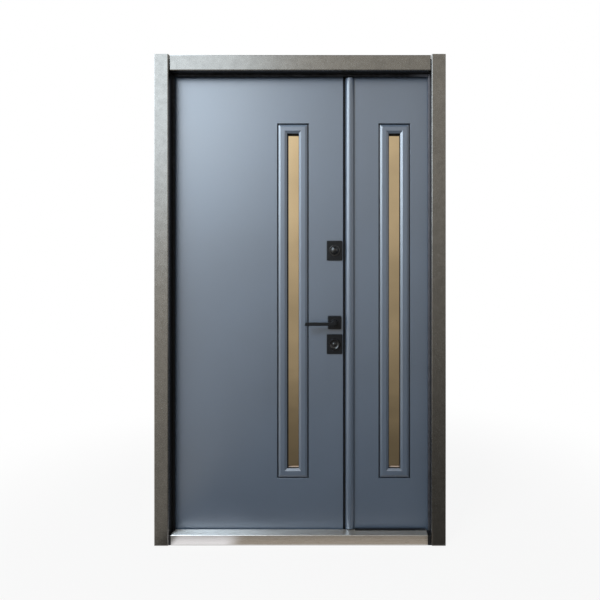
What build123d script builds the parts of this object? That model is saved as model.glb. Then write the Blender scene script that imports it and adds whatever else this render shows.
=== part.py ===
"""Steel entrance door set with a wide main leaf, a narrow side leaf and a stainless sill.

X runs to the right seen from outside, Y into the house, Z up.
The origin is on the underside of the sill, in the middle of the opening.
"""

import os

from build123d import *

os.makedirs("parts", exist_ok=True)

# Frame opening and its folded steel section
reveal_width = 1098.0
reveal_height = 1985.0
reveal_depth = 33.0
rebate_step = 20.0
frame_face = 51.0
frame_sheet = 2.0
return_lip = 10.0
frame_front = -46.0
anchor_hole_radius = 7.0
anchor_heights = (300.0, 1700.0)
anchor_inset = 30.0

# Cover trims around the outside face
casing_face = 59.5
head_casing_face = 65.0
casing_depth = 14.0
head_casing_depth = 6.0
casing_sheet = 2.0
casing_bend = 2.0
casing_joint = 2.0

# Sill
sill_height = 43.0
sill_projection = 12.0
sill_cover_sheet = 2.0
sill_cover_inset = 13.0
sill_cover_shift = -3.0
sill_cover_bend = 2.5
sill_step_height = 18.0
sill_tube_wall = 3.0
fit_gap = 0.3

# Rubber seals beside the leaves
seal_width = 9.0
seal_depth = 10.0
seal_clearance = 6.0
seal_nose = 3.0

# Leaves
main_leaf_width = 739.0
leaf_thickness = 52.0
panel_thickness = 12.0
panel_edge = 1.5
stop_gap = 8.0
edge_gap = 8.0
bottom_gap = 7.0
meeting_gap = 10.0

# Tall windows and their mouldings
window_width = 135.0
window_height = 1523.0
window_middle_height = 1019.7
main_window_setback = 215.5
side_window_shift = 4.5
groove = 6.0
groove_edge = 1.0
moulding_rise = 4.0
moulding_bevel = 9.0
moulding_flat = 17.0
moulding_slope = 10.0
moulding_slope_depth = 6.0
gasket_lip = 0.5
gasket_foot = 3.5
pane_thickness = 4.0
pane_cover = 12.0
pane_room = 2.0
spacer_width = 7.0
spacer_depth = 8.0

# Half-round strip on the meeting edge
strip_width = 38.0
strip_rise = 16.0
strip_end_gap = 5.0

# Hinges
hinge_radius = 8.0
hinge_setback = 9.0
hinge_half_length = 60.0
hinge_pin_radius = 4.0
hinge_pin_length = 48.0
hinge_pin_clearance = 0.05
hinge_bearing_gap = 0.3
hinge_flag = 36.0
hinge_flag_thickness = 3.0
hinge_flag_corner = 6.0
hinge_cap = 4.0
hinge_cap_round = 3.0
hinge_end_distance = 220.0

# Lever handle and its roses
handle_setback = 36.5
handle_height = 927.0
lever_reach = 123.0
lever_bar_height = 14.0
lever_drop = 4.0
lever_bar_thickness = 12.0
lever_slant = 3.0
lever_projection = 52.0
lever_edge = 2.0
neck_radius = 9.0
neck_clearance = 0.05
rose_size = 55.0
rose_thickness = 9.0
rose_edge = 1.5
rose_collar_radius = 16.0
rose_collar_rise = 4.0
rose_collar_round = 1.5
spindle_size = 8.0
spindle_hole_radius = 12.0

# Locks
upper_lock_height = 1235.0
lower_lock_drop = 93.0
lock_plate_width = 66.0
lock_plate_height = 84.0
lock_plate_thickness = 4.0
lock_plate_edge = 1.2
lock_plate_corner = 3.0
upper_guard_radius = 24.0
upper_guard_rise = 18.0
upper_knob_radius = 18.0
lower_guard_radius = 24.0
lower_guard_rise = 9.0
lower_guard_rim = 4.0
guard_skirt = 4.0
guard_round = 1.5
plug_radius = 10.0
plug_rise = 5.0
keyway_depth = 4.0
keyway_width = 2.0
keyway_height = 9.0
turn_base_radius = 14.0
turn_base_rise = 4.0
turn_grip_length = 32.0
turn_grip_width = 8.0
turn_grip_rise = 16.0
turn_grip_edge = 1.5
forend_width = 22.0
forend_thickness = 3.0
upper_forend_length = 120.0
lower_forend_length = 240.0
latch_slot_length = 25.0
bolt_slot_length = 40.0
slot_width = 14.0

# Places that follow from the sizes above
half_reveal = reveal_width / 2
half_rebate = half_reveal + rebate_step
stop_face = frame_front + reveal_depth
leaf_front = stop_face + stop_gap
leaf_back = leaf_front + leaf_thickness
leaf_middle = (leaf_front + leaf_back) / 2
core_front = leaf_front + panel_thickness
core_back = leaf_back - panel_thickness
leaf_bottom = sill_step_height + bottom_gap
leaf_top = reveal_height + rebate_step - edge_gap
leaf_height = leaf_top - leaf_bottom
leaf_middle_height = (leaf_top + leaf_bottom) / 2
outer_edge = half_rebate - edge_gap
main_edge = main_leaf_width - outer_edge
side_edge = main_edge + meeting_gap
side_leaf_width = outer_edge - side_edge
main_leaf_middle = (main_edge - outer_edge) / 2
side_leaf_middle = (side_edge + outer_edge) / 2
main_window_middle = main_edge - main_window_setback
side_window_middle = (side_edge + strip_width + outer_edge) / 2 + side_window_shift
casing_front = frame_front - casing_depth
casing_top = reveal_height + head_casing_face
moulding_front = leaf_front - moulding_rise
moulding_width = window_width - 2 * groove
moulding_height = window_height - 2 * groove
mouth_inset = moulding_bevel + moulding_flat
mouth_width = moulding_width - 2 * mouth_inset
mouth_height = moulding_height - 2 * mouth_inset
throat_width = mouth_width - 2 * moulding_slope
throat_height = mouth_height - 2 * moulding_slope
throat_front = moulding_front + moulding_slope_depth
glass_width = throat_width - 2 * gasket_foot
glass_height = throat_height - 2 * gasket_foot
pane_width = glass_width + 2 * pane_cover
pane_height = glass_height + 2 * pane_cover
glass_front = leaf_middle - spacer_depth / 2 - pane_thickness
handle_x = main_edge - handle_setback
lower_lock_height = handle_height - lower_lock_drop
hinge_axis_x = outer_edge + edge_gap / 2
hinge_axis_y = leaf_back + hinge_setback
hinge_heights = (
    leaf_bottom + hinge_end_distance,
    leaf_middle_height,
    leaf_top - hinge_end_distance,
)


def save(piece, name):
    """Label a finished piece and write it to its own file."""
    piece.part.label = name
    export_step(piece.part, f"parts/{name}.step")


def outside_plane(x, y, z):
    """A sketch plane that faces outside, with X to the right and Z up."""
    return Plane(origin=(x, y, z), x_dir=(1, 0, 0), z_dir=(0, -1, 0))


# Folded frame section, drawn along its visible faces with the sheet behind them
def frame_section(inner_face):
    """Points of the visible faces: front flange, reveal, stop, rebate wall, back flange and lip."""
    outer_face = inner_face + frame_face
    rebate_wall = inner_face + rebate_step
    return (
        (outer_face, frame_front),
        (inner_face, frame_front),
        (inner_face, stop_face),
        (rebate_wall, stop_face),
        (rebate_wall, leaf_back),
        (outer_face, leaf_back),
        (outer_face, leaf_back - return_lip),
    )


mitre_right = Plane(origin=(half_reveal, 0, reveal_height), x_dir=(0, 1, 0), z_dir=(-1, 0, 1))
mitre_left = Plane(origin=(-half_reveal, 0, reveal_height), x_dir=(0, 1, 0), z_dir=(1, 0, 1))
anchor_y = leaf_back - anchor_inset

with BuildPart() as right_jamb:
    with BuildSketch(Plane.XY):
        with BuildLine():
            Polyline(*frame_section(half_reveal))
            offset(amount=frame_sheet, side=Side.RIGHT, kind=Kind.INTERSECTION)
        make_face()
    extrude(amount=reveal_height + frame_face)
    split(bisect_by=mitre_right, keep=Keep.BOTTOM)
    for height in anchor_heights:
        with BuildSketch(Plane(origin=(half_rebate, anchor_y, height), z_dir=(1, 0, 0))):
            Circle(anchor_hole_radius)
    extrude(amount=frame_sheet, mode=Mode.SUBTRACT)
save(right_jamb, "right_jamb")

with BuildPart() as left_jamb:
    mirror(right_jamb.part, about=Plane.YZ)
save(left_jamb, "left_jamb")

with BuildPart() as head_jamb:
    with BuildSketch(Plane(origin=(0, 0, 0), x_dir=(0, 0, 1), z_dir=(-1, 0, 0))):
        with BuildLine():
            Polyline(*frame_section(reveal_height))
            offset(amount=frame_sheet, side=Side.RIGHT, kind=Kind.INTERSECTION)
        make_face()
    extrude(amount=half_reveal + frame_face, both=True)
    split(bisect_by=mitre_right, keep=Keep.TOP)
    split(bisect_by=mitre_left, keep=Keep.TOP)
save(head_jamb, "head_jamb")

# Cover trims of thin sheet with rounded bends: two upright channels and a shallow tray between them
with BuildPart() as right_casing:
    with BuildSketch(Plane.XY):
        with BuildLine():
            FilletPolyline(
                (half_reveal, frame_front),
                (half_reveal, casing_front),
                (half_reveal + casing_face, casing_front),
                (half_reveal + casing_face, frame_front),
                radius=casing_bend + casing_sheet,
            )
            offset(amount=casing_sheet, side=Side.LEFT)
        make_face()
    extrude(amount=casing_top)
save(right_casing, "right_casing")

with BuildPart() as left_casing:
    mirror(right_casing.part, about=Plane.YZ)
save(left_casing, "left_casing")

with BuildPart() as head_casing:
    with BuildSketch(outside_plane(0, frame_front, (reveal_height + casing_top) / 2)):
        Rectangle(2 * (half_reveal - casing_joint), head_casing_face)
    extrude(amount=casing_depth - head_casing_depth)
    fillet(head_casing.faces().sort_by(Axis.Y)[0].edges(), radius=casing_bend + casing_sheet)
    offset(amount=-casing_sheet, openings=head_casing.faces().sort_by(Axis.Y)[-1])
save(head_casing, "head_casing")

# Sill: a stepped tube between the jambs, notched round the stops, under a folded stainless cover
sill_front = frame_front - sill_projection
sill_tube_front = sill_front + sill_cover_sheet
sill_tube_top = sill_height - sill_cover_sheet

with BuildPart() as sill_beam:
    with BuildSketch(Plane.YZ) as tube_section:
        with BuildLine():
            Polyline(
                (sill_tube_front, 0),
                (sill_tube_front, sill_tube_top),
                (stop_face, sill_tube_top),
                (stop_face, sill_step_height),
                (leaf_back, sill_step_height),
                (leaf_back, 0),
                close=True,
            )
        make_face()
        fillet(tube_section.vertices().group_by(Axis.Y)[-1], radius=sill_cover_bend)
        offset(amount=-sill_tube_wall, kind=Kind.INTERSECTION, mode=Mode.SUBTRACT)
    extrude(amount=half_rebate - fit_gap, both=True)
    notch_back = stop_face + fit_gap
    notch_middle = half_reveal - fit_gap + rebate_step / 2
    for side in (-1, 1):
        with BuildSketch(Plane.XY):
            with Locations((side * notch_middle, (sill_tube_front + notch_back) / 2)):
                Rectangle(rebate_step, notch_back - sill_tube_front)
        extrude(amount=sill_height, mode=Mode.SUBTRACT)
save(sill_beam, "sill_beam")

with BuildPart() as sill_cover:
    with BuildSketch(Plane.YZ.offset(sill_cover_shift)):
        with BuildLine():
            FilletPolyline(
                (sill_front, fit_gap),
                (sill_front, sill_height),
                (stop_face + sill_cover_sheet, sill_height),
                (stop_face + sill_cover_sheet, sill_step_height),
                radius=sill_cover_bend,
            )
            offset(amount=sill_cover_sheet, side=Side.RIGHT)
        make_face()
    extrude(amount=half_reveal - sill_cover_inset, both=True)
save(sill_cover, "sill_cover")

# Rubber seals stand on the reveals in front of the leaf edges
seal_back = leaf_front - seal_clearance
seal_front = seal_back - seal_depth

with BuildPart() as frame_seals:
    for side in (-1, 1):
        with BuildSketch(Plane.XY.offset(sill_height)) as jamb_seal:
            with Locations((side * (half_reveal - seal_width / 2), (seal_front + seal_back) / 2)):
                Rectangle(seal_width, seal_depth)
            inner_corners = jamb_seal.vertices().sort_by(Axis.X, reverse=side < 0)[:2]
            fillet(inner_corners, radius=seal_nose)
        extrude(amount=reveal_height - sill_height)
    with BuildSketch(Plane.YZ) as head_seal:
        with Locations(((seal_front + seal_back) / 2, reveal_height - seal_width / 2)):
            Rectangle(seal_depth, seal_width)
        fillet(head_seal.vertices().sort_by(Axis.Y)[:2], radius=seal_nose)
    extrude(amount=half_reveal - seal_width - fit_gap, both=True)
save(frame_seals, "frame_seals")


# Each leaf is a core between two milled panels
def leaf_panel(middle, width, window_middle):
    """Outer panel with its window cut, which leaves a groove round the moulding, and eased edges."""
    with BuildPart() as panel:
        with BuildSketch(outside_plane(0, core_front, 0)):
            with Locations((middle, leaf_middle_height)):
                Rectangle(width, leaf_height)
            with Locations((window_middle, window_middle_height)):
                Rectangle(window_width, window_height, mode=Mode.SUBTRACT)
        extrude(amount=panel_thickness)
        front_face = panel.faces().sort_by(Axis.Y)[0]
        chamfer(front_face.inner_wires()[0].edges(), length=groove_edge)
        front_face = panel.faces().sort_by(Axis.Y)[0]
        chamfer(front_face.outer_wire().edges(), length=panel_edge)
    return panel


def leaf_core(middle, width, window_middle):
    """Core slab with a through cut that takes the glazing unit."""
    with BuildPart() as core:
        with BuildSketch(outside_plane(0, core_back, 0)):
            with Locations((middle, leaf_middle_height)):
                Rectangle(width, leaf_height)
            with Locations((window_middle, window_middle_height)):
                Rectangle(pane_width + 2 * pane_room, pane_height + 2 * pane_room, mode=Mode.SUBTRACT)
        extrude(amount=core_back - core_front)
    return core


def window_moulding(window_middle):
    """Rectangular moulding: a bevel outside, a flat, and a slope down to a straight throat."""
    flat_width = moulding_width - 2 * moulding_bevel
    flat_height = moulding_height - 2 * moulding_bevel
    with BuildPart() as moulding:
        with BuildSketch(outside_plane(window_middle, core_front, window_middle_height)):
            Rectangle(moulding_width, moulding_height)
        extrude(amount=panel_thickness)
        with BuildSketch(outside_plane(window_middle, leaf_front, window_middle_height)):
            Rectangle(moulding_width, moulding_height)
        with BuildSketch(outside_plane(window_middle, moulding_front, window_middle_height)):
            Rectangle(flat_width, flat_height)
        loft()
        with BuildSketch(outside_plane(window_middle, throat_front, window_middle_height)):
            Rectangle(throat_width, throat_height)
        with BuildSketch(outside_plane(window_middle, moulding_front, window_middle_height)):
            Rectangle(mouth_width, mouth_height)
        loft(mode=Mode.SUBTRACT)
        with BuildSketch(outside_plane(window_middle, core_front, window_middle_height)):
            Rectangle(throat_width, throat_height)
        extrude(amount=core_front - throat_front, mode=Mode.SUBTRACT)
    return moulding


def window_gasket(window_middle):
    """Rubber liner of the throat, thin at its lip and thick where it presses on the glass."""
    lip_width = throat_width - 2 * gasket_lip
    lip_height = throat_height - 2 * gasket_lip
    with BuildPart() as gasket:
        with BuildSketch(outside_plane(window_middle, glass_front, window_middle_height)):
            Rectangle(throat_width, throat_height)
        extrude(amount=glass_front - throat_front)
        with BuildSketch(outside_plane(window_middle, glass_front, window_middle_height)):
            Rectangle(glass_width, glass_height)
        with BuildSketch(outside_plane(window_middle, throat_front, window_middle_height)):
            Rectangle(lip_width, lip_height)
        loft(mode=Mode.SUBTRACT)
    return gasket


def window_pane(window_middle):
    """Outer pane, reaching behind the gasket all round."""
    with BuildPart() as pane:
        with BuildSketch(outside_plane(window_middle, glass_front + pane_thickness, window_middle_height)):
            Rectangle(pane_width, pane_height)
        extrude(amount=pane_thickness)
    return pane


def window_spacer(window_middle):
    """Spacer frame that holds the two panes apart along their edges."""
    with BuildPart() as spacer:
        with BuildSketch(outside_plane(window_middle, leaf_middle, window_middle_height)):
            Rectangle(pane_width, pane_height)
            Rectangle(pane_width - 2 * spacer_width, pane_height - 2 * spacer_width, mode=Mode.SUBTRACT)
        extrude(amount=spacer_depth / 2, both=True)
    return spacer


def inner_copy(piece):
    """The same piece on the inner side, mirrored in the middle plane of the leaf."""
    with BuildPart() as copy:
        mirror(piece.part, about=Plane.XZ.offset(-leaf_middle))
    return copy


def add_window(leaf, window_middle):
    """Write the mouldings and the glazing unit of one leaf."""
    moulding = window_moulding(window_middle)
    save(moulding, f"{leaf}_window_outer_moulding")
    save(inner_copy(moulding), f"{leaf}_window_inner_moulding")
    pane = window_pane(window_middle)
    save(pane, f"{leaf}_window_outer_pane")
    save(inner_copy(pane), f"{leaf}_window_inner_pane")
    save(window_spacer(window_middle), f"{leaf}_window_spacer")
    outer_gasket = window_gasket(window_middle)
    with BuildPart() as gaskets:
        add(outer_gasket.part)
        add(inner_copy(outer_gasket).part)
    save(gaskets, f"{leaf}_window_gaskets")


add_window("main", main_window_middle)
add_window("side", side_window_middle)

# Side leaf, with pockets for the strike plates in its meeting edge
forends = (
    (upper_lock_height, upper_forend_length, ((upper_lock_height, bolt_slot_length),)),
    (
        (handle_height + lower_lock_height) / 2,
        lower_forend_length,
        ((handle_height, latch_slot_length), (lower_lock_height, bolt_slot_length)),
    ),
)


def edge_plane(x, height):
    """A sketch plane on a closing edge, with its own X into the house and Y up."""
    return Plane(origin=(x, leaf_middle, height), x_dir=(0, 1, 0), z_dir=(1, 0, 0))


def edge_plates(back):
    """Both lock plates of a closing edge, with their bolt slots, from the given depth towards +X."""
    with BuildPart() as plates:
        for middle_height, length, slots in forends:
            with BuildSketch(edge_plane(back, middle_height)):
                RectangleRounded(forend_width, length, radius=forend_width / 2 - fit_gap)
                for slot_height, slot_length in slots:
                    with Locations((0, slot_height - middle_height)):
                        Rectangle(slot_width, slot_length, mode=Mode.SUBTRACT)
            extrude(amount=forend_thickness)
    return plates


def plate_pockets(back):
    """Pockets of the same outline as the lock plates, as one cutting solid."""
    with BuildPart() as pockets:
        for middle_height, length, _ in forends:
            with BuildSketch(edge_plane(back, middle_height)):
                RectangleRounded(forend_width, length, radius=forend_width / 2 - fit_gap)
            extrude(amount=forend_thickness)
    return pockets


side_panel = leaf_panel(side_leaf_middle, side_leaf_width, side_window_middle)
save(side_panel, "side_leaf_outer_panel")
save(inner_copy(side_panel), "side_leaf_inner_panel")

with BuildPart() as side_leaf_core:
    add(leaf_core(side_leaf_middle, side_leaf_width, side_window_middle).part)
    add(plate_pockets(side_edge).part, mode=Mode.SUBTRACT)
save(side_leaf_core, "side_leaf_core")
save(edge_plates(side_edge), "strike_plates")

with BuildPart() as meeting_strip:
    strip_bottom = sill_height + strip_end_gap
    strip_top = reveal_height - seal_width - strip_end_gap
    with BuildSketch(Plane.XY.offset(strip_bottom)):
        with BuildLine():
            ThreePointArc(
                (side_edge, leaf_front),
                (side_edge + strip_width / 2, leaf_front - strip_rise),
                (side_edge + strip_width, leaf_front),
            )
            Line((side_edge, leaf_front), (side_edge + strip_width, leaf_front))
        make_face()
    extrude(amount=strip_top - strip_bottom)
save(meeting_strip, "meeting_strip")

# Main leaf, bored for the spindle and pocketed for the lock plates
main_panel = leaf_panel(main_leaf_middle, main_leaf_width, main_window_middle)

with BuildPart() as main_leaf_outer_panel:
    add(main_panel.part)
    with BuildSketch(outside_plane(handle_x, core_front, handle_height)):
        Circle(spindle_hole_radius)
    extrude(amount=panel_thickness, mode=Mode.SUBTRACT)
save(main_leaf_outer_panel, "main_leaf_outer_panel")
save(inner_copy(main_leaf_outer_panel), "main_leaf_inner_panel")

with BuildPart() as main_leaf_core:
    add(leaf_core(main_leaf_middle, main_leaf_width, main_window_middle).part)
    add(plate_pockets(main_edge - forend_thickness).part, mode=Mode.SUBTRACT)
    with BuildSketch(outside_plane(handle_x, core_back, handle_height)):
        Circle(spindle_hole_radius)
    extrude(amount=core_back - core_front, mode=Mode.SUBTRACT)
save(main_leaf_core, "main_leaf_core")
save(edge_plates(main_edge - forend_thickness), "lock_forends")


# Lift-off hinges on the inner side: a post with its pin on the frame, a sleeve on the leaf
def hinge_half(side, joint_height, way):
    """Barrel with a rounded cap, and its flag on the inner face.

    A way of 1 gives the leaf's half, above the joint with its flag towards the leaf.
    A way of -1 gives the frame's half, below the joint with its flag towards the jamb.
    """
    axis_x = side * hinge_axis_x
    far_end = joint_height + way * hinge_half_length
    flag_middle = axis_x - side * way * hinge_flag / 2
    with BuildPart() as half:
        with BuildSketch(Plane.XY.offset(far_end)):
            with Locations((axis_x, hinge_axis_y)):
                Circle(hinge_radius)
        extrude(amount=way * hinge_cap)
        fillet(half.edges().sort_by(Axis.Z, reverse=way > 0)[0], radius=hinge_cap_round)
        with BuildSketch(Plane.XY.offset(joint_height)):
            with Locations((axis_x, hinge_axis_y)):
                Circle(hinge_radius)
        extrude(amount=way * hinge_half_length)
        with BuildSketch(outside_plane(flag_middle, leaf_back, (joint_height + far_end) / 2)) as flag:
            Rectangle(hinge_flag, hinge_half_length)
            free_corners = flag.vertices().sort_by(Axis.X, reverse=side * way < 0)[:2]
            fillet(free_corners, radius=hinge_flag_corner)
        extrude(amount=-hinge_flag_thickness)
    return half


def hinge_posts(side):
    """Frame halves of one leaf's hinges, each with its pin."""
    with BuildPart() as posts:
        for height in hinge_heights:
            add(hinge_half(side, height, -1).part)
            with BuildSketch(Plane.XY.offset(height)):
                with Locations((side * hinge_axis_x, hinge_axis_y)):
                    Circle(hinge_pin_radius)
            extrude(amount=hinge_pin_length)
    return posts


def hinge_sleeves(side):
    """Leaf halves of one leaf's hinges, bored for the pins."""
    with BuildPart() as sleeves:
        for height in hinge_heights:
            add(hinge_half(side, height + hinge_bearing_gap, 1).part)
            with BuildSketch(Plane.XY.offset(height)):
                with Locations((side * hinge_axis_x, hinge_axis_y)):
                    Circle(hinge_pin_radius + hinge_pin_clearance)
            extrude(amount=hinge_pin_length + hinge_bearing_gap, mode=Mode.SUBTRACT)
    return sleeves


save(hinge_posts(-1), "main_hinge_posts")
save(hinge_sleeves(-1), "main_hinge_sleeves")
save(hinge_posts(1), "side_hinge_posts")
save(hinge_sleeves(1), "side_hinge_sleeves")


# Outer lock plates and the turned guards round the lock cylinders
def lock_plate(height):
    """Flat cover plate with rounded corners and an eased front edge."""
    with BuildPart() as plate:
        with BuildSketch(outside_plane(handle_x, leaf_front, height)):
            RectangleRounded(lock_plate_width, lock_plate_height, radius=lock_plate_corner)
        extrude(amount=lock_plate_thickness)
        front_face = plate.faces().sort_by(Axis.Y)[0]
        chamfer(front_face.edges(), length=lock_plate_edge)
    return plate


def guard_plane(height):
    """Plane through the axis of a lock cylinder, with its own X as radius and Y into the leaf."""
    return Plane(origin=(handle_x, leaf_front - lock_plate_thickness, height), x_dir=(1, 0, 0), z_dir=(0, 0, 1))


def cut_keyway(height, depth_from):
    """Upright key slot in the plug, as a cutting solid."""
    with BuildPart() as keyway:
        with BuildSketch(outside_plane(handle_x, depth_from, height)):
            Rectangle(keyway_width, keyway_height)
        extrude(amount=keyway_depth)
    return keyway


upper_lock_plate = lock_plate(upper_lock_height)
lower_lock_plate = lock_plate(lower_lock_height)
save(upper_lock_plate, "upper_lock_plate")
save(lower_lock_plate, "lower_lock_plate")

with BuildPart() as upper_lock_guard:
    dome_rise = upper_guard_rise - guard_skirt
    dome_radius = (upper_knob_radius**2 + dome_rise**2) / (2 * dome_rise)
    with BuildSketch(guard_plane(upper_lock_height)):
        with BuildLine():
            Polyline(
                (0, -upper_guard_rise),
                (0, 0),
                (upper_guard_radius, 0),
                (upper_guard_radius, guard_round - guard_skirt),
                (upper_guard_radius - guard_round, -guard_skirt),
                (upper_knob_radius, -guard_skirt),
            )
            RadiusArc((upper_knob_radius, -guard_skirt), (0, -upper_guard_rise), dome_radius)
        make_face()
    revolve(axis=Axis((handle_x, 0, upper_lock_height), (0, 1, 0)))
save(upper_lock_guard, "upper_lock_guard")

with BuildPart() as lower_lock_guard:
    dish_radius = lower_guard_radius - 2 * lower_guard_rim
    plug_dome_radius = (plug_radius**2 + plug_rise**2) / (2 * plug_rise)
    with BuildSketch(guard_plane(lower_lock_height)):
        with BuildLine():
            Polyline(
                (0, 0),
                (lower_guard_radius, 0),
                (lower_guard_radius, -guard_skirt),
                (lower_guard_radius - lower_guard_rim / 2, -lower_guard_rise),
                (lower_guard_radius - lower_guard_rim, -lower_guard_rise),
            )
            ThreePointArc(
                (lower_guard_radius - lower_guard_rim, -lower_guard_rise),
                (dish_radius, -guard_skirt - guard_round),
                (plug_radius, -guard_skirt),
            )
            RadiusArc((plug_radius, -guard_skirt), (0, -guard_skirt - plug_rise), plug_dome_radius)
            Line((0, -guard_skirt - plug_rise), (0, 0))
        make_face()
    revolve(axis=Axis((handle_x, 0, lower_lock_height), (0, 1, 0)))
    plug_face = leaf_front - lock_plate_thickness - guard_skirt - plug_rise
    add(cut_keyway(lower_lock_height, plug_face + keyway_depth).part, mode=Mode.SUBTRACT)
save(lower_lock_guard, "lower_lock_guard")

# Inside, the upper plate carries a thumb turn and the lower one a plain cylinder end
plate_face = leaf_front - lock_plate_thickness

with BuildPart() as outside_turn_plate:
    add(upper_lock_plate.part)
    with BuildSketch(outside_plane(handle_x, plate_face, upper_lock_height)):
        Circle(turn_base_radius)
    extrude(amount=turn_base_rise)
    with BuildSketch(outside_plane(handle_x, plate_face - turn_base_rise, upper_lock_height)):
        SlotOverall(turn_grip_length, turn_grip_width)
    extrude(amount=turn_grip_rise)
    fillet(outside_turn_plate.faces().sort_by(Axis.Y)[0].edges(), radius=turn_grip_edge)

with BuildPart() as outside_cylinder_plate:
    add(lower_lock_plate.part)
    with BuildSketch(outside_plane(handle_x, plate_face, lower_lock_height)):
        Circle(plug_radius)
    extrude(amount=keyway_depth)
    fillet(outside_cylinder_plate.faces().sort_by(Axis.Y)[0].edges(), radius=guard_round)
    add(cut_keyway(lower_lock_height, plate_face).part, mode=Mode.SUBTRACT)

with BuildPart() as inner_lock_plates:
    add(inner_copy(outside_turn_plate).part)
    add(inner_copy(outside_cylinder_plate).part)
save(inner_lock_plates, "inner_lock_plates")

# Square roses with a round collar, bored to carry the lever necks
with BuildPart() as outer_rose:
    with BuildSketch(outside_plane(handle_x, leaf_front, handle_height)):
        Rectangle(rose_size, rose_size)
    extrude(amount=rose_thickness)
    chamfer(outer_rose.faces().sort_by(Axis.Y)[0].edges(), length=rose_edge)
    with BuildSketch(outside_plane(handle_x, leaf_front - rose_thickness, handle_height)):
        Circle(rose_collar_radius)
    extrude(amount=rose_collar_rise)
    fillet(outer_rose.faces().sort_by(Axis.Y)[0].edges(), radius=rose_collar_round)
    with BuildSketch(outside_plane(handle_x, leaf_front, handle_height)):
        Circle(neck_radius + neck_clearance)
    extrude(amount=rose_thickness + rose_collar_rise, mode=Mode.SUBTRACT)
save(outer_rose, "outer_rose")
save(inner_copy(outer_rose), "inner_rose")

# Lever: a round neck and boss, and a flat bar below their axis that points to the hinge side
with BuildPart() as outer_lever:
    bar_back = leaf_front - lever_projection + lever_bar_thickness
    bar_top = lever_bar_height / 2 - lever_drop
    bar_bottom = -lever_bar_height / 2 - lever_drop
    boss_radius = -bar_bottom
    boss_side = (boss_radius**2 - bar_top**2) ** 0.5
    with BuildSketch(outside_plane(handle_x, bar_back, handle_height)):
        with BuildLine():
            Polyline(
                (0, bar_bottom),
                (-lever_reach, bar_bottom),
                (lever_slant - lever_reach, bar_top),
                (-boss_side, bar_top),
            )
            ThreePointArc((-boss_side, bar_top), (boss_radius, 0), (0, bar_bottom))
        make_face()
    extrude(amount=lever_bar_thickness)
    fillet(outer_lever.edges(), radius=lever_edge)
    with BuildSketch(outside_plane(handle_x, leaf_front, handle_height)):
        Circle(neck_radius)
    extrude(amount=leaf_front - bar_back)
save(outer_lever, "outer_lever")
save(inner_copy(outer_lever), "inner_lever")

with BuildPart() as spindle:
    with BuildSketch(outside_plane(handle_x, leaf_back, handle_height)):
        Rectangle(spindle_size, spindle_size)
    extrude(amount=leaf_thickness)
save(spindle, "spindle")
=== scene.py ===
"""Steel entrance door set: the finish of its frame, leaves, glass and fittings, and the studio around it."""
import math

import bpy
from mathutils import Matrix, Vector


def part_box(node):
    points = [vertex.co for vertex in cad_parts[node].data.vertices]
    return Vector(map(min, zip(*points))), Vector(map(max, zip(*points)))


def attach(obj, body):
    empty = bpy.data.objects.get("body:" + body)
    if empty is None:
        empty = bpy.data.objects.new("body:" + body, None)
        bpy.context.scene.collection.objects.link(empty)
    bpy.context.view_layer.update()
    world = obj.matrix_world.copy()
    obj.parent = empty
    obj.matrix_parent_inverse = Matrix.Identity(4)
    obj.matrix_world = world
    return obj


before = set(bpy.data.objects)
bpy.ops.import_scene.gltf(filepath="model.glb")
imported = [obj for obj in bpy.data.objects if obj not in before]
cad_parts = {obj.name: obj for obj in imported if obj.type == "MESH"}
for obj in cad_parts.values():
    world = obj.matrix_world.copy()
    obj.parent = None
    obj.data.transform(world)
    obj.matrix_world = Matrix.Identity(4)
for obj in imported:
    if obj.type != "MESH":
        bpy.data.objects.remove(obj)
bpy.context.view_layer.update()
bpy.ops.object.select_all(action="DESELECT")

# Frame jambs, head and sill tube
# Folded steel sheet, mitred and welded at the corners and sprayed satin black.
# The spray leaves a fine grain, and the sheet shows slow waves where it was folded.
BLACK_PAINT = (0.009, 0.009, 0.010, 1.0)
BLACK_PAINT_SHADES = (0.85, 1.2)
BLACK_PAINT_ROUGHNESS = (0.38, 0.47)
BLACK_PAINT_SHINE = 0.3
SHEET_WAVES = 9.0
SPRAY_GRAIN = 900.0
SPRAY_RELIEF = 0.00006
NOISE_SPAN = (0.3, 0.7)


def new_finish(name):
    """A material with its own shader, and object coordinates to lay patterns on."""
    material = bpy.data.materials.new(name)
    material.use_nodes = True
    tree = material.node_tree
    shader = tree.nodes["Principled BSDF"]
    coordinates = tree.nodes.new("ShaderNodeTexCoord")
    return material, tree, shader, coordinates.outputs["Object"]


def grain(tree, vector, scale, detail=3.0):
    """Noise of the given fineness, in features to the metre."""
    noise = tree.nodes.new("ShaderNodeTexNoise")
    noise.inputs["Scale"].default_value = scale
    noise.inputs["Detail"].default_value = detail
    tree.links.new(vector, noise.inputs["Vector"])
    return noise.outputs["Fac"]


def spread(tree, value, result, span=NOISE_SPAN, smooth=False):
    """A value turned from one span into another, such as noise into a roughness, each given by its ends."""
    turned = tree.nodes.new("ShaderNodeMapRange")
    turned.interpolation_type = "SMOOTHSTEP" if smooth else "LINEAR"
    turned.inputs["From Min"].default_value = span[0]
    turned.inputs["From Max"].default_value = span[1]
    turned.inputs["To Min"].default_value = result[0]
    turned.inputs["To Max"].default_value = result[1]
    tree.links.new(value, turned.inputs["Value"])
    return turned.outputs["Result"]


def tinted(tree, value, dark, light):
    """A colour that goes from one to another with a noise value."""
    ramp = tree.nodes.new("ShaderNodeValToRGB")
    ramp.color_ramp.elements[0].position = NOISE_SPAN[0]
    ramp.color_ramp.elements[0].color = dark
    ramp.color_ramp.elements[1].position = NOISE_SPAN[1]
    ramp.color_ramp.elements[1].color = light
    tree.links.new(value, ramp.inputs["Fac"])
    return ramp.outputs["Color"]


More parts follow.
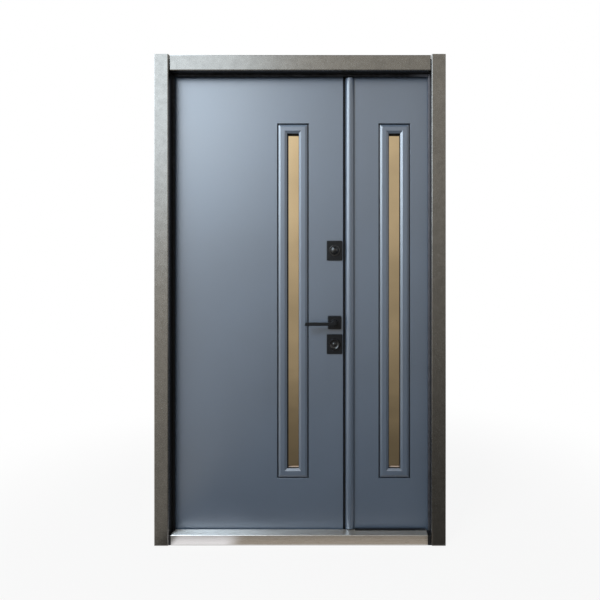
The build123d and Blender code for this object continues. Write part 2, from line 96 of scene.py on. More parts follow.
def shade(colour, factor):
    """The same colour, lighter or darker."""
    return (colour[0] * factor, colour[1] * factor, colour[2] * factor, 1.0)


def mottled(tree, value, colour, shades):
    """One colour that wanders between a darker and a lighter shade of itself."""
    return tinted(tree, value, shade(colour, shades[0]), shade(colour, shades[1]))


def raised(tree, value, height, shader):
    """A fine relief of the given height in metres."""
    bump = tree.nodes.new("ShaderNodeBump")
    bump.inputs["Strength"].default_value = 1.0
    bump.inputs["Distance"].default_value = height
    tree.links.new(value, bump.inputs["Height"])
    tree.links.new(bump.outputs["Normal"], shader.inputs["Normal"])


def dress(material, *names):
    """Give carried-over pieces their finish."""
    for name in names:
        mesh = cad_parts[name].data
        mesh.materials.clear()
        mesh.materials.append(material)


black_paint, tree, shader, place = new_finish("frame_black_paint")
wander = grain(tree, place, SHEET_WAVES)
tree.links.new(mottled(tree, wander, BLACK_PAINT, BLACK_PAINT_SHADES), shader.inputs["Base Color"])
tree.links.new(spread(tree, wander, BLACK_PAINT_ROUGHNESS), shader.inputs["Roughness"])
shader.inputs["Specular IOR Level"].default_value = BLACK_PAINT_SHINE
raised(tree, grain(tree, place, SPRAY_GRAIN), SPRAY_RELIEF, shader)
dress(black_paint, "left_jamb", "right_jamb", "head_jamb", "sill_beam")

# Cover trims
# Folded channels and a tray of thin sheet in a metallic grey coat with fine flakes.
# The coat is cloudy, as sprayed metallic coats are, and the flakes show as a fine speckle.
CASING_GREY = (0.203, 0.197, 0.190, 1.0)
CASING_SHADES = (0.88, 1.12)
CLOUD_GRAIN = 45.0
CLOUD_DETAIL = 5.0
FLAKE_GRAIN = 420.0
FLAKE_DETAIL = 2.0
FLAKE_ROUGHNESS = (0.2, 0.33)
FLAKE_RELIEF = 0.00008
CLOUDS_AND_FLAKES = (0.75, 1.25)


def joined(tree, operation, first, second):
    """Two values put together, by adding or multiplying."""
    both = tree.nodes.new("ShaderNodeMath")
    both.operation = operation
    tree.links.new(first, both.inputs[0])
    tree.links.new(second, both.inputs[1])
    return both.outputs["Value"]


casing_coat, tree, shader, place = new_finish("casing_metallic_grey")
clouds = grain(tree, place, CLOUD_GRAIN, CLOUD_DETAIL)
flakes = grain(tree, place, FLAKE_GRAIN, FLAKE_DETAIL)
mottle = spread(tree, joined(tree, "ADD", clouds, flakes), NOISE_SPAN, CLOUDS_AND_FLAKES)
tree.links.new(mottled(tree, mottle, CASING_GREY, CASING_SHADES), shader.inputs["Base Color"])
tree.links.new(spread(tree, flakes, FLAKE_ROUGHNESS), shader.inputs["Roughness"])
shader.inputs["Metallic"].default_value = 1.0
raised(tree, flakes, FLAKE_RELIEF, shader)
dress(casing_coat, "left_casing", "right_casing", "head_casing")

# Sill cover
# Stainless sheet, brushed lengthwise and folded over the sill tube, and used for the lock strips too.
# The brushing draws reflections out across the strokes, most of all on the flat tread.
STAINLESS = (0.60, 0.59, 0.58, 1.0)
STAINLESS_SHADES = (0.93, 1.06)
STROKE_WAY = (1.0, 0.0, 0.0)
STROKE_STRETCH = (2.0, 300.0, 300.0)
STROKE_GRAIN = 4.0
STROKE_DETAIL = 4.0
STROKE_ROUGHNESS = (0.22, 0.34)
STROKE_RELIEF = 0.00003
TREAD_TILT = (0.6, 0.9)
TREAD_ROUGHNESS = (0.0, 0.08)
TREAD_STRETCH = (0.0, 1.0)


def stretched(tree, vector, stretch):
    """Coordinates stretched along one axis, for brushed or drawn metal."""
    mapping = tree.nodes.new("ShaderNodeMapping")
    mapping.inputs["Scale"].default_value = stretch
    tree.links.new(vector, mapping.inputs["Vector"])
    return mapping.outputs["Vector"]


def surface_facing(tree):
    """The direction that the surface faces, point by point."""
    return tree.nodes.new("ShaderNodeNewGeometry").outputs["Normal"]


def along(tree, vector, axis):
    """The share of a place or a direction that lies along one axis."""
    shares = tree.nodes.new("ShaderNodeSeparateXYZ")
    tree.links.new(vector, shares.inputs["Vector"])
    return shares.outputs[axis]


stainless, tree, shader, place = new_finish("brushed_stainless")
strokes = grain(tree, stretched(tree, place, STROKE_STRETCH), STROKE_GRAIN, STROKE_DETAIL)
tree.links.new(mottled(tree, strokes, STAINLESS, STAINLESS_SHADES), shader.inputs["Base Color"])
facing = surface_facing(tree)
upward = along(tree, facing, "Z")
sheen = spread(tree, strokes, STROKE_ROUGHNESS)
tread = spread(tree, upward, TREAD_ROUGHNESS, TREAD_TILT)
tree.links.new(joined(tree, "ADD", sheen, tread), shader.inputs["Roughness"])
across_strokes = tree.nodes.new("ShaderNodeVectorMath")
across_strokes.operation = "CROSS_PRODUCT"
across_strokes.inputs[1].default_value = STROKE_WAY
tree.links.new(facing, across_strokes.inputs[0])
tree.links.new(across_strokes.outputs["Vector"], shader.inputs["Tangent"])
tree.links.new(spread(tree, upward, TREAD_STRETCH, TREAD_TILT), shader.inputs["Anisotropic"])
shader.inputs["Metallic"].default_value = 1.0
raised(tree, strokes, STROKE_RELIEF, shader)
dress(stainless, "sill_cover", "lock_forends", "strike_plates", "spindle")

# Rubber seals of the frame
# Extruded matt rubber on both reveals and under the head, greyed on the right with painted light that fades
# lower down.
# A flat strip of the same rubber lies on the sill before the narrow leaf.
RUBBER = (0.007, 0.007, 0.008, 1.0)
RUBBER_ROUGHNESS = 0.6
RUBBER_SHINE = 0.15
RUBBER_GRAIN = 1500.0
RUBBER_RELIEF = 0.00005
RUBBER_PAINTED_LIGHT = (0.118, 0.125, 0.146, 1.0)
PAINTED_LIGHT_ACROSS = (0.45, 0.54)
PAINTED_LIGHT_RIGHTWARD = (0.32, 0.66)
PAINTED_LIGHT_UP = (0.3, 1.9)
PAINTED_LIGHT_LOWER_DOWN = (0.62, 1.0)
SPECK_GRAIN = 60.0
SPECK_DETAIL = 5.0
SPECK_STRENGTH = (-0.05, 0.05)
SILL_SEAL_END_GAP = 0.002
SILL_SEAL_LEAF_GAP = 0.0035
SILL_SEAL_WIDTH = 0.0135
SILL_SEAL_THICKNESS = 0.003
SILL_SEAL_ROUND = 0.0014
SMOOTH_ANGLE = 0.6


def block(name, low, high):
    """A box between two corners, with its place in its mesh."""
    bpy.ops.object.select_all(action="DESELECT")
    bpy.ops.mesh.primitive_cube_add(size=1.0, location=(low + high) / 2)
    piece = bpy.context.object
    piece.name = name
    piece.scale = high - low
    bpy.ops.object.transform_apply(location=True, rotation=True, scale=True)
    return piece


def round_edges(piece, chosen, radius, steps=3):
    """Round the edges of which both ends pass the test."""
    bpy.ops.object.mode_set(mode="EDIT")
    bpy.ops.mesh.select_mode(type="EDGE")
    bpy.ops.mesh.select_all(action="DESELECT")
    bpy.ops.object.mode_set(mode="OBJECT")
    points = piece.data.vertices
    for edge in piece.data.edges:
        edge.select = all(chosen(points[end].co) for end in edge.vertices)
    bpy.ops.object.mode_set(mode="EDIT")
    bpy.ops.mesh.bevel(offset=radius, segments=steps, affect="EDGES")
    bpy.ops.object.mode_set(mode="OBJECT")
    bpy.ops.object.shade_smooth_by_angle(angle=SMOOTH_ANGLE)


def finish_piece(piece, material, body):
    """Give a new piece its finish, and the body that carries it."""
    piece.data.materials.clear()
    piece.data.materials.append(material)
    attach(piece, body)


def matt_rubber(tree, shader, place, colour):
    """The dull, finely grained surface of extruded rubber, in the given colour."""
    tree.links.new(colour, shader.inputs["Base Color"])
    shader.inputs["Roughness"].default_value = RUBBER_ROUGHNESS
    shader.inputs["Specular IOR Level"].default_value = RUBBER_SHINE
    raised(tree, grain(tree, place, RUBBER_GRAIN), RUBBER_RELIEF, shader)


def rubber_finish(name, colour, lit_colour):
    """Matt rubber, greyed with painted light toward the right of the door and less of it lower down, plus
    fine random specks.
    """
    material, tree, shader, place = new_finish(name)
    # Painted light: the rubber turns lighter toward the right and higher up, where light falls on the right
    # reveal.
    lit_rightward = spread(tree, along(tree, place, "X"), PAINTED_LIGHT_RIGHTWARD, PAINTED_LIGHT_ACROSS)
    lit_higher = spread(tree, along(tree, place, "Z"), PAINTED_LIGHT_LOWER_DOWN, PAINTED_LIGHT_UP)
    specks = spread(tree, grain(tree, place, SPECK_GRAIN, SPECK_DETAIL), SPECK_STRENGTH)
    painted_light_and_specks = joined(tree, "ADD", joined(tree, "MULTIPLY", lit_rightward, lit_higher), specks)
    matt_rubber(tree, shader, place, tinted(tree, painted_light_and_specks, colour, lit_colour))
    return material


painted_light_rubber = rubber_finish("seal_rubber_painted_light", RUBBER, RUBBER_PAINTED_LIGHT)
dress(painted_light_rubber, "frame_seals")
_, meeting_strip_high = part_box("meeting_strip")
_, cover_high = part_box("sill_cover")
leaf_face_low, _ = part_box("side_leaf_outer_panel")
sill_seal_back = leaf_face_low[1] - SILL_SEAL_LEAF_GAP
sill_seal = block(
    "sill_seal",
    Vector((meeting_strip_high[0] + SILL_SEAL_END_GAP, sill_seal_back - SILL_SEAL_WIDTH, cover_high[2])),
    Vector((cover_high[0] - SILL_SEAL_END_GAP, sill_seal_back, cover_high[2] + SILL_SEAL_THICKNESS)),
)
round_edges(sill_seal, lambda point: point.z > cover_high[2] + SILL_SEAL_ROUND, SILL_SEAL_ROUND)
finish_piece(sill_seal, painted_light_rubber, "frame")

# Leaves, mouldings and meeting strip
# Pressed and milled panels in one satin powder coat, slate blue-grey, baked on after milling.
# The coat has a faint orange peel and wanders a little in shade; grooves, corners and places beside other
# parts get painted shade, darker and less shiny.
SLATE = (0.051, 0.080, 0.126, 1.0)
SLATE_SHADES = (0.94, 1.06)
SLATE_ROUGHNESS = (0.34, 0.42)
SLATE_GRAIN = 2.2
SLATE_DETAIL = 4.0
PEEL_GRAIN = 520.0
PEEL_DETAIL = 2.0
PEEL_RELIEF = 0.00005
TOP_COAT_ROUGHNESS = 0.32
TOP_COAT_IOR = 1.68
PAINTED_SHADE_REACH = 0.007
PAINTED_SHADE_OPENNESS = (0.35, 0.9)
PAINTED_SHADE_SHINE = (0.25, 1.0)

slate_coat, tree, shader, place = new_finish("slate_powder_coat")
wander = grain(tree, place, SLATE_GRAIN, SLATE_DETAIL)
# Painted shade: occlusion darkens the colour and lowers the shine and top coat in grooves, corners and
# beside other parts.
painted_groove_shade = tree.nodes.new("ShaderNodeAmbientOcclusion")
painted_groove_shade.inputs["Distance"].default_value = PAINTED_SHADE_REACH
tree.links.new(mottled(tree, wander, SLATE, SLATE_SHADES), painted_groove_shade.inputs["Color"])
tree.links.new(painted_groove_shade.outputs["Color"], shader.inputs["Base Color"])
tree.links.new(spread(tree, wander, SLATE_ROUGHNESS), shader.inputs["Roughness"])
shine_outside_painted_shade = spread(tree, painted_groove_shade.outputs["AO"], PAINTED_SHADE_SHINE, PAINTED_SHADE_OPENNESS)
tree.links.new(shine_outside_painted_shade, shader.inputs["Specular IOR Level"])
tree.links.new(shine_outside_painted_shade, shader.inputs["Coat Weight"])
shader.inputs["Coat Roughness"].default_value = TOP_COAT_ROUGHNESS
shader.inputs["Coat IOR"].default_value = TOP_COAT_IOR
raised(tree, grain(tree, place, PEEL_GRAIN, PEEL_DETAIL), PEEL_RELIEF, shader)
for leaf in ("main", "side"):
    dress(
        slate_coat,
        f"{leaf}_leaf_core",
        f"{leaf}_leaf_outer_panel",
        f"{leaf}_leaf_inner_panel",
        f"{leaf}_window_outer_moulding",
        f"{leaf}_window_inner_moulding",
    )
dress(slate_coat, "meeting_strip")

# Meeting seals
# A rubber lip along the closing edge of each leaf, pressed into a slot near the front.
# The wide leaf's lip lies behind the other, so that it swings clear and no daylight shows between them.
GASKET_BLACK = (0.012, 0.012, 0.013, 1.0)
GASKET_PAINTED_LIGHT = 1.3
LIP_REACH = 0.0075
LIP_THICKNESS = 0.003
LIP_STAGGER = 0.004
LIP_ROUND = 0.0012

# The lips take the same painted light toward the right as the seals, turning a little lighter black.
black_rubber = rubber_finish("black_gasket_rubber", GASKET_BLACK, shade(GASKET_BLACK, GASKET_PAINTED_LIGHT))
main_leaf_low, main_leaf_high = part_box("main_leaf_core")
side_leaf_low, side_leaf_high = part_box("side_leaf_core")
main_lip_front = main_leaf_low[1]
side_lip_front = side_leaf_low[1] - LIP_STAGGER
main_lip = block(
    "main_meeting_lip",
    Vector((main_leaf_high[0], main_lip_front, main_leaf_low[2])),
    Vector((main_leaf_high[0] + LIP_REACH, main_lip_front + LIP_THICKNESS, main_leaf_high[2])),
)
round_edges(main_lip, lambda point: point.x > main_leaf_high[0] + LIP_ROUND, LIP_ROUND)
finish_piece(main_lip, black_rubber, "main_leaf")
side_lip = block(
    "side_meeting_lip",
    Vector((side_leaf_low[0] - LIP_REACH, side_lip_front, side_leaf_low[2])),
    Vector((side_leaf_low[0], side_lip_front + LIP_THICKNESS, side_leaf_high[2])),
)
round_edges(side_lip, lambda point: point.x < side_leaf_low[0] - LIP_ROUND, LIP_ROUND)
finish_piece(side_lip, black_rubber, "side_leaf")

# Glazing
# Sealed units of two panes with a bronze mirror film, round a dark spacer and held by black gaskets.
# The rolled glass is very slightly wavy, and the up-facing ledge of the lower gasket is painted pale, as
# painted light where the sky falls on it.
BRONZE_FILM = (0.66, 0.53, 0.35, 1.0)
BRONZE_SHADES = (0.96, 1.03)
GLASS_ROUGHNESS = 0.05
RIPPLE_GRAIN = 5.0
RIPPLE_DETAIL = 2.0
RIPPLE_RELIEF = 0.0006
SPACER_GREY = (0.05, 0.048, 0.045, 1.0)
SPACER_SHADES = (0.9, 1.15)
SPACER_GRAIN = 200.0
SPACER_METALLIC = 0.7
SPACER_ROUGHNESS = 0.5
LEDGE_PAINTED_LIGHT = (0.46, 0.38, 0.33, 1.0)
LEDGE_TILT = (0.6, 0.9)
LEDGE_INWARD = (0.004, 0.007)
LEDGE_LIGHT_SHARE = (0.3, 0.84)

bronze_glass, tree, shader, place = new_finish("bronze_mirror_glass")
ripple = grain(tree, place, RIPPLE_GRAIN, RIPPLE_DETAIL)
tree.links.new(mottled(tree, ripple, BRONZE_FILM, BRONZE_SHADES), shader.inputs["Base Color"])
shader.inputs["Metallic"].default_value = 1.0
shader.inputs["Roughness"].default_value = GLASS_ROUGHNESS
raised(tree, ripple, RIPPLE_RELIEF, shader)

spacer_finish, tree, shader, place = new_finish("dark_anodised_spacer")
anodising = grain(tree, place, SPACER_GRAIN)
tree.links.new(mottled(tree, anodising, SPACER_GREY, SPACER_SHADES), shader.inputs["Base Color"])
shader.inputs["Metallic"].default_value = SPACER_METALLIC
shader.inputs["Roughness"].default_value = SPACER_ROUGHNESS

# Painted light: the gasket turns pale where it faces up near the pane, standing in for light falling on the
# lower ledge.
ledge_rubber_painted_light, tree, shader, place = new_finish("gasket_ledge_painted_light")
flat_top = spread(tree, along(tree, surface_facing(tree), "Z"), LEDGE_LIGHT_SHARE, LEDGE_TILT)
near_pane = spread(tree, along(tree, place, "Y"), LEDGE_LIGHT_SHARE, LEDGE_INWARD)
ledge = joined(tree, "MULTIPLY", flat_top, near_pane)
matt_rubber(tree, shader, place, tinted(tree, ledge, GASKET_BLACK, LEDGE_PAINTED_LIGHT))

for leaf in ("main", "side"):
    dress(bronze_glass, f"{leaf}_window_outer_pane", f"{leaf}_window_inner_pane")
    dress(spacer_finish, f"{leaf}_window_spacer")
    dress(ledge_rubber_painted_light, f"{leaf}_window_gaskets")

# Hinges, locks and lever
# Cast and turned steel fittings with a satin black coat, and turned lock guards that shine a little more.
# Hinges sit on the inner side, lock plates and roses on both sides of the wide leaf.
FITTING_BLACK = (0.005, 0.006, 0.008, 1.0)
FITTING_SHADES = (0.85, 1.2)
FITTING_SHINE = 0.25
FITTING_ROUGHNESS = (0.28, 0.37)
FITTING_GRAIN = 1800.0
FITTING_RELIEF = 0.00003
WEAR_GRAIN = 120.0
WEAR_DETAIL = 4.0
GUARD_SHINE = 0.6
GUARD_ROUGHNESS = (0.16, 0.25)


def fitting_finish(name, shine, roughness):
    """Black coat over steel, worn a little in places."""
    material, tree, shader, place = new_finish(name)
    wear = grain(tree, place, WEAR_GRAIN, WEAR_DETAIL)
    tree.links.new(mottled(tree, wear, FITTING_BLACK, FITTING_SHADES), shader.inputs["Base Color"])
    tree.links.new(spread(tree, wear, roughness), shader.inputs["Roughness"])
    shader.inputs["Specular IOR Level"].default_value = shine
    raised(tree, grain(tree, place, FITTING_GRAIN), FITTING_RELIEF, shader)
    return material


fitting_coat = fitting_finish("satin_black_fittings", FITTING_SHINE, FITTING_ROUGHNESS)
guard_coat = fitting_finish("shiny_black_guards", GUARD_SHINE, GUARD_ROUGHNESS)
dress(guard_coat, "upper_lock_guard", "lower_lock_guard")
dress(
    fitting_coat,
    "main_hinge_posts",
    "main_hinge_sleeves",
    "side_hinge_posts",
    "side_hinge_sleeves",
    "upper_lock_plate",
    "lower_lock_plate",
    "outer_rose",
    "inner_rose",
    "inner_lock_plates",
    "outer_lever",
    "inner_lever",
)

# Screws
# Countersunk screws with a cross recess hold the hinge flags, lock strips, strikes and inner lock plates.
# Their heads stand a hair proud of the metal they hold.
SCREW_RADIUS = 0.0038
SCREW_PROUD = 0.0005
SCREW_SUNK = 0.0013
SCREW_SIDES = 32
SCREW_EDGE = 0.0004
SCREW_EDGE_STEPS = 2
RECESS_LENGTH = 0.0042
RECESS_WIDTH = 0.0011
RECESS_DEPTH = 0.0011
HINGE_HALF = 0.064
HINGE_GAP = 0.0003
HINGE_FLAG_MIDDLE = 0.03
HINGE_FLAG_THICKNESS = 0.003
HINGE_SCREW_REACH = 0.022
HINGE_SCREW_SPREAD = 0.016
LOCK_PLATE_THICKNESS = 0.004
LOCK_SCREW_INSET = 0.008
UPPER_STRIP_LENGTH = 0.12
LOWER_STRIP_LENGTH = 0.24
STRIP_SCREW_INSET = 0.011
LEFT = -1
RIGHT = 1
ON_FRAME = -1
ON_LEAF = 1
INWARD = Vector((0.0, 1.0, 0.0))
RIGHTWARD = Vector((1.0, 0.0, 0.0))

posts_low, posts_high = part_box("main_hinge_posts")
sleeves_low, sleeves_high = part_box("main_hinge_sleeves")
hinge_axis = -(posts_high[0] + sleeves_low[0]) / 2
flag_face = posts_low[1] + HINGE_FLAG_THICKNESS
lowest_hinge = posts_low[2] + HINGE_HALF
highest_hinge = sleeves_high[2] - HINGE_HALF - HINGE_GAP
hinge_heights = (lowest_hinge, (lowest_hinge + highest_hinge) / 2, highest_hinge)
inner_plates_low, inner_plates_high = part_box("inner_lock_plates")
lock_middle = (inner_plates_low[0] + inner_plates_high[0]) / 2
lock_face = inner_plates_low[1] + LOCK_PLATE_THICKNESS
lock_strips_low, lock_strips_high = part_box("lock_forends")
lock_strip_middle = (lock_strips_low[1] + lock_strips_high[1]) / 2


def cut_bar(head, size):
    """Cut one bar of the cross recess from a screw head."""
    top = Vector((0.0, 0.0, SCREW_PROUD))
    bar = block("recess_bar", top - size / 2, top + size / 2)
    cut = head.modifiers.new("recess", "BOOLEAN")
    cut.operation = "DIFFERENCE"
    cut.object = bar
    bpy.context.view_layer.objects.active = head
    bpy.ops.object.modifier_apply(modifier=cut.name)
    bpy.data.objects.remove(bar)


def screw_head():
    """A screw head at the origin that faces up."""
    bpy.ops.object.select_all(action="DESELECT")
    bpy.ops.mesh.primitive_cylinder_add(
        vertices=SCREW_SIDES,
        radius=SCREW_RADIUS,
        depth=SCREW_PROUD + SCREW_SUNK,
        location=(0.0, 0.0, (SCREW_PROUD - SCREW_SUNK) / 2),
    )
    head = bpy.context.object
    bpy.ops.object.transform_apply(location=True, rotation=True, scale=True)
    round_edges(head, lambda point: point.z > 0.0, SCREW_EDGE, SCREW_EDGE_STEPS)
    cut_bar(head, Vector((RECESS_LENGTH, RECESS_WIDTH, RECESS_DEPTH * 2)))
    cut_bar(head, Vector((RECESS_WIDTH, RECESS_LENGTH, RECESS_DEPTH * 2)))
    return head


def screw_row(name, places, facing):
    """Copies of the pattern head at the given places, joined into one piece."""
    turn = facing.to_track_quat("Z", "Y").to_euler()
    heads = []
    for place in places:
        bpy.ops.object.select_all(action="DESELECT")
        pattern_head.select_set(True)
        bpy.context.view_layer.objects.active = pattern_head
        bpy.ops.object.duplicate(linked=False)
        head = bpy.context.object
        head.rotation_euler = turn
        head.location = place
        heads.append(head)
    for head in heads:
        head.select_set(True)
    bpy.context.view_layer.objects.active = heads[0]
    bpy.ops.object.transform_apply(location=True, rotation=True, scale=True)
    bpy.ops.object.join()
    row = bpy.context.object
    row.name = name
    return row


def flag_places(side, half):
    """Two screws on each hinge flag, on the frame below the joint or on the leaf above it."""
    across = side * (hinge_axis - half * HINGE_SCREW_REACH)
    return [
        Vector((across, flag_face, height + half * HINGE_FLAG_MIDDLE + step))
        for height in hinge_heights
        for step in (-HINGE_SCREW_SPREAD, HINGE_SCREW_SPREAD)
    ]


def lock_plate_places():
    """A screw near the foot and the top of each inner lock plate, which match the outer ones."""
    places = []
    for name in ("upper_lock_plate", "lower_lock_plate"):
        plate_low, plate_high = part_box(name)
        for height in (plate_low[2] + LOCK_SCREW_INSET, plate_high[2] - LOCK_SCREW_INSET):
            places.append(Vector((lock_middle, lock_face, height)))
    return places


def edge_places(across):
    """A screw near each end of the upper and the lower strip in a closing edge."""
    heights = (
        lock_strips_high[2] - UPPER_STRIP_LENGTH + STRIP_SCREW_INSET,
        lock_strips_high[2] - STRIP_SCREW_INSET,
        lock_strips_low[2] + STRIP_SCREW_INSET,
        lock_strips_low[2] + LOWER_STRIP_LENGTH - STRIP_SCREW_INSET,
    )
    return [Vector((across, lock_strip_middle, height)) for height in heights]


pattern_head = screw_head()
frame_places = flag_places(LEFT, ON_FRAME) + flag_places(RIGHT, ON_FRAME)
frame_screws = screw_row("frame_hinge_screws", frame_places, INWARD)
finish_piece(frame_screws, fitting_coat, "frame")
main_hinge_screws = screw_row("main_hinge_screws", flag_places(LEFT, ON_LEAF), INWARD)
finish_piece(main_hinge_screws, fitting_coat, "main_leaf")
side_hinge_screws = screw_row("side_hinge_screws", flag_places(RIGHT, ON_LEAF), INWARD)
finish_piece(side_hinge_screws, fitting_coat, "side_leaf")
lock_plate_screws = screw_row("inner_lock_plate_screws", lock_plate_places(), INWARD)
finish_piece(lock_plate_screws, fitting_coat, "main_leaf")
forend_screws = screw_row("lock_forend_screws", edge_places(main_leaf_high[0]), RIGHTWARD)
finish_piece(forend_screws, stainless, "main_leaf")
strike_screws = screw_row("strike_plate_screws", edge_places(side_leaf_low[0]), -RIGHTWARD)
finish_piece(strike_screws, stainless, "side_leaf")
bpy.data.objects.remove(pattern_head)

# Studio floor
# A plain pale floor at the level of the sill's underside, fading to white away from the door.
# Near the door it keeps a little of its own shading, so that the door's shadow shows.
FLOOR_SIZE = 60.0
FLOOR_GREY = (0.45, 0.45, 0.45, 1.0)
FLOOR_ROUGHNESS = 0.9
FLOOR_SHINE = 0.0
FLOOR_FADE = (0.9, 2.6)
FLOOR_WHITENESS = (0.9, 1.0)
RISING = (0.0, 1.0)

bpy.ops.mesh.primitive_plane_add(size=FLOOR_SIZE, location=(0.0, 0.0, 0.0))
floor = bpy.context.object
floor.name = "studio_floor"


def white_to_the_eye(tree, shader_output, white_share=None):
    """Shows a surface as white to the camera, in metal and in glass, with some of its own shading left."""
    paths = tree.nodes.new("ShaderNodeLightPath")
    seen = joined(tree, "ADD", paths.outputs["Is Camera Ray"], paths.outputs["Is Glossy Ray"])
    seen = joined(tree, "ADD", seen, paths.outputs["Is Transmission Ray"])
    seen = spread(tree, seen, RISING, RISING)
    if white_share:
        seen = joined(tree, "MULTIPLY", seen, white_share)
    white = tree.nodes.new("ShaderNodeEmission")
    mix = tree.nodes.new("ShaderNodeMixShader")
    tree.links.new(seen, mix.inputs["Fac"])
    tree.links.new(shader_output, mix.inputs[1])
    tree.links.new(white.outputs["Emission"], mix.inputs[2])
    return mix.outputs["Shader"]


pale_floor, tree, shader, place = new_finish("pale_studio_floor")
shader.inputs["Base Color"].default_value = FLOOR_GREY
shader.inputs["Roughness"].default_value = FLOOR_ROUGHNESS
shader.inputs["Specular IOR Level"].default_value = FLOOR_SHINE
far = tree.nodes.new("ShaderNodeVectorMath")
far.operation = "LENGTH"
tree.links.new(place, far.inputs[0])
whiteness = spread(tree, far.outputs["Value"], FLOOR_WHITENESS, FLOOR_FADE, smooth=True)
floor_shader = white_to_the_eye(tree, shader.outputs["BSDF"], whiteness)
tree.links.new(floor_shader, tree.nodes["Material Output"].inputs["Surface"])
floor.data.materials.append(pale_floor)

# Studio cards
# A tall card and a low one on each side of the door and one overhead, which metal and glass reflect.
# They are brightest and coolest high on the left, and fade to a dim warm grey below and to the right.
CARD_LEFT = -9.0
CARD_RIGHT = 8.0
CARD_TOP = 9.0
CARD_THICKNESS = 0.002
CARD_DISTANCE = 4.06
CARD_FLOOR_GAP = 0.004
CARD_SILL_GAP = 0.0615
REAR_CARD_GAP = 0.2
CARD_CLOUD_GRAIN = 1.6
CARD_CLOUD_DETAIL = 4.0
CARD_CLOUDS = (0.87, 1.13)
WARM_LIGHT = (1.06, 1.0, 0.88, 1.0)
GREY_UP = (0.0, 4.0)
GREY_UP_LEVEL = (0.34, 0.92)
GREY_ACROSS = (-2.4, 1.4)
GREY_ACROSS_LEVEL = (1.25, 0.78)
GREY_AWAY = (CARD_SILL_GAP, CARD_DISTANCE)
GREY_AWAY_LEVEL = (0.35, 1.0)
LEFT_END_ACROSS = (-2.0, -0.9)
LEFT_END_LEVEL = (0.3, 0.0)
LEFT_END_UP = (1.4, 3.4)
LEFT_FOOT_ACROSS = (-0.66, -0.54)
LEFT_FOOT_LEVEL = (0.31, 0.0)
LEFT_FOOT_AWAY = (1.0, 3.0)
COOL_LIGHT = (0.83, 1.0, 1.14, 1.0)
NEAR_GLOW_ACROSS = (-1.7, -0.55)
NEAR_GLOW_LEVEL = (2.22, 0.0)
FAR_GLOW_ACROSS = (-4.5, -2.7)
FAR_GLOW_LEVEL = (3.6, 0.0)
GLOW_UP = (0.9, 3.8)
HIGH_UP = (6.0, 8.5)
HIGH_GREY_LEVEL = (1.0, 0.1)
HIGH_GLOW_ACROSS = (-4.0, -1.8)
HIGH_GLOW_LEVEL = (6.2, 0.0)
STRIP_LIGHT = (1.2, 1.0, 0.8, 1.0)
STRIP_AWAY = (CARD_SILL_GAP, REAR_CARD_GAP)
STRIP_LEVEL = (0.29, 0.0)
STRIP_LEFT = (-0.56, -0.52)
STRIP_RIGHT = (0.52, 0.56)
PATCH_LIGHT = (0.94, 1.0, 1.12, 1.0)
PATCH_ACROSS = (-0.33, -0.24)
PATCH_LEVEL = (2.75, 0.0)
FALLING = (1.0, 0.0)

card_light, card_tree, _, place = new_finish("card_light")
across = along(card_tree, place, "X")
up = along(card_tree, place, "Z")
distance = card_tree.nodes.new("ShaderNodeMath")
distance.operation = "ABSOLUTE"
card_tree.links.new(along(card_tree, place, "Y"), distance.inputs[0])
away = distance.outputs["Value"]
card_noise = grain(card_tree, place, CARD_CLOUD_GRAIN, CARD_CLOUD_DETAIL)
card_clouds = spread(card_tree, card_noise, CARD_CLOUDS)


def slope(value, span, level):
    """An even change of light along one axis of the cards."""
    return spread(card_tree, value, level, span)


def fade(value, span, level):
    """A soft change of light along one axis of the cards."""
    return spread(card_tree, value, level, span, smooth=True)


def times(*values):
    """The product of several values on the cards."""
    product = values[0]
    for value in values[1:]:
        product = joined(card_tree, "MULTIPLY", product, value)
    return product


def plus(*values):
    """The sum of several values on the cards."""
    total = values[0]
    for value in values[1:]:
        total = joined(card_tree, "ADD", total, value)
    return total


def card_emission(colour, strength):
    """Light of one colour from the cards."""
    emission = card_tree.nodes.new("ShaderNodeEmission")
    emission.inputs["Color"].default_value = colour
    card_tree.links.new(strength, emission.inputs["Strength"])
    return emission.outputs["Emission"]


def added(first, second):
    """Two lights from the same card."""
    both = card_tree.nodes.new("ShaderNodeAddShader")
    card_tree.links.new(first, both.inputs[0])
    card_tree.links.new(second, both.inputs[1])
    return both.outputs["Shader"]


# A warm grey all over, dimmest low down and near the door, and lighter at the left end.
grey = times(
    slope(up, GREY_UP, GREY_UP_LEVEL),
    slope(across, GREY_ACROSS, GREY_ACROSS_LEVEL),
    slope(away, GREY_AWAY, GREY_AWAY_LEVEL),
)
left_end = times(fade(across, LEFT_END_ACROSS, LEFT_END_LEVEL), fade(up, LEFT_END_UP, FALLING))
left_foot = times(fade(across, LEFT_FOOT_ACROSS, LEFT_FOOT_LEVEL), slope(away, LEFT_FOOT_AWAY, FALLING))
dim = times(plus(grey, left_end, left_foot), fade(up, HIGH_UP, HIGH_GREY_LEVEL))

# A cool glow toward the left, which grows up the tall cards and is strongest overhead.
left_glow = plus(
    fade(across, NEAR_GLOW_ACROSS, NEAR_GLOW_LEVEL),
    fade(across, FAR_GLOW_ACROSS, FAR_GLOW_LEVEL),
)
front_glow = times(left_glow, fade(up, GLOW_UP, RISING), fade(up, HIGH_UP, FALLING))
high_glow = times(fade(across, HIGH_GLOW_ACROSS, HIGH_GLOW_LEVEL), fade(up, HIGH_UP, RISING))
glow = plus(front_glow, high_glow)

# A warm strip on the low card right before the sill, with a brighter, cooler patch on its left.
foot_strip = times(
    fade(away, STRIP_AWAY, STRIP_LEVEL),
    fade(across, STRIP_LEFT, RISING),
    fade(across, STRIP_RIGHT, FALLING),
)
foot_patch = times(fade(across, PATCH_ACROSS, PATCH_LEVEL), foot_strip)

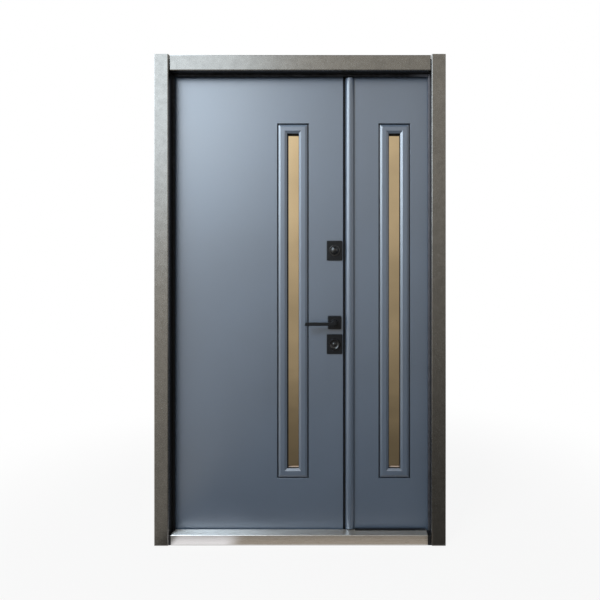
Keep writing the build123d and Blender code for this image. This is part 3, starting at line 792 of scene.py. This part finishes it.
warm = card_emission(WARM_LIGHT, times(dim, card_clouds))
cool = card_emission(COOL_LIGHT, times(glow, card_clouds))
foot = added(card_emission(STRIP_LIGHT, foot_strip), card_emission(PATCH_LIGHT, foot_patch))
card_tree.links.new(added(added(warm, cool), foot), card_tree.nodes["Material Output"].inputs["Surface"])


def studio_card(name, low, high):
    """A flat card between two corners, seen only in reflections."""
    card = block(name, low, high)
    card.data.materials.append(card_light)
    card.visible_camera = False
    card.visible_diffuse = False
    card.visible_transmission = False
    card.visible_shadow = False


studio_card(
    "front_tall_card",
    Vector((CARD_LEFT, -CARD_DISTANCE - CARD_THICKNESS, 0.0)),
    Vector((CARD_RIGHT, -CARD_DISTANCE, CARD_TOP)),
)
studio_card(
    "front_low_card",
    Vector((CARD_LEFT, -CARD_DISTANCE, CARD_FLOOR_GAP - CARD_THICKNESS)),
    Vector((CARD_RIGHT, -CARD_SILL_GAP, CARD_FLOOR_GAP)),
)
studio_card(
    "overhead_card",
    Vector((CARD_LEFT, -CARD_DISTANCE, CARD_TOP)),
    Vector((CARD_RIGHT, CARD_DISTANCE, CARD_TOP + CARD_THICKNESS)),
)
studio_card(
    "rear_tall_card",
    Vector((CARD_LEFT, CARD_DISTANCE, 0.0)),
    Vector((CARD_RIGHT, CARD_DISTANCE + CARD_THICKNESS, CARD_TOP)),
)
studio_card(
    "rear_low_card",
    Vector((CARD_LEFT, REAR_CARD_GAP, CARD_FLOOR_GAP - CARD_THICKNESS)),
    Vector((CARD_RIGHT, CARD_DISTANCE, CARD_FLOOR_GAP)),
)

# Studio surround and lamp
# White all round to the eye, dimmer and a little cool as light.
# One large soft lamp stands high on the left in front of the door.
SURROUND_LIGHT = (0.95, 0.98, 1.0, 1.0)
SURROUND_LEVEL = 0.45
LAMP_PLACE = Vector((-1.7, -2.9, 3.0))
LAMP_AIM = Vector((-0.1, 0.0, 1.2))
LAMP_SIZE = 1.6
LAMP_POWER = 130.0

world = bpy.data.worlds.new("studio_surround")
bpy.context.scene.world = world
world.use_nodes = True
tree = world.node_tree
surround = tree.nodes["Background"]
surround.inputs["Color"].default_value = SURROUND_LIGHT
surround.inputs["Strength"].default_value = SURROUND_LEVEL
world_shader = white_to_the_eye(tree, surround.outputs["Background"])
tree.links.new(world_shader, tree.nodes["World Output"].inputs["Surface"])

bpy.ops.object.light_add(type="AREA", location=LAMP_PLACE)
lamp = bpy.context.object
lamp.name = "key_lamp"
lamp.rotation_euler = (LAMP_AIM - LAMP_PLACE).to_track_quat("-Z", "Y").to_euler()
lamp.data.shape = "SQUARE"
lamp.data.size = LAMP_SIZE
lamp.data.energy = LAMP_POWER
lamp.visible_glossy = False

# Camera
# Level with the middle of the door and a little to the right of it, as in the photograph.
EYE = Vector((0.246, -1.869, 1.062))
LEVEL_GAZE = (math.radians(90.0), 0.0, 0.0)
LENS = 26.05
SENSOR_WIDTH = 36.0
SHIFT_ACROSS = -0.0983
SHIFT_UP = -0.015

bpy.ops.object.camera_add(location=EYE, rotation=LEVEL_GAZE)
camera = bpy.context.object
camera.name = "door_camera"
camera.data.lens = LENS
camera.data.sensor_width = SENSOR_WIDTH
camera.data.shift_x = SHIFT_ACROSS
camera.data.shift_y = SHIFT_UP
bpy.context.scene.camera = camera
bpy.context.scene.view_settings.view_transform = "Standard"
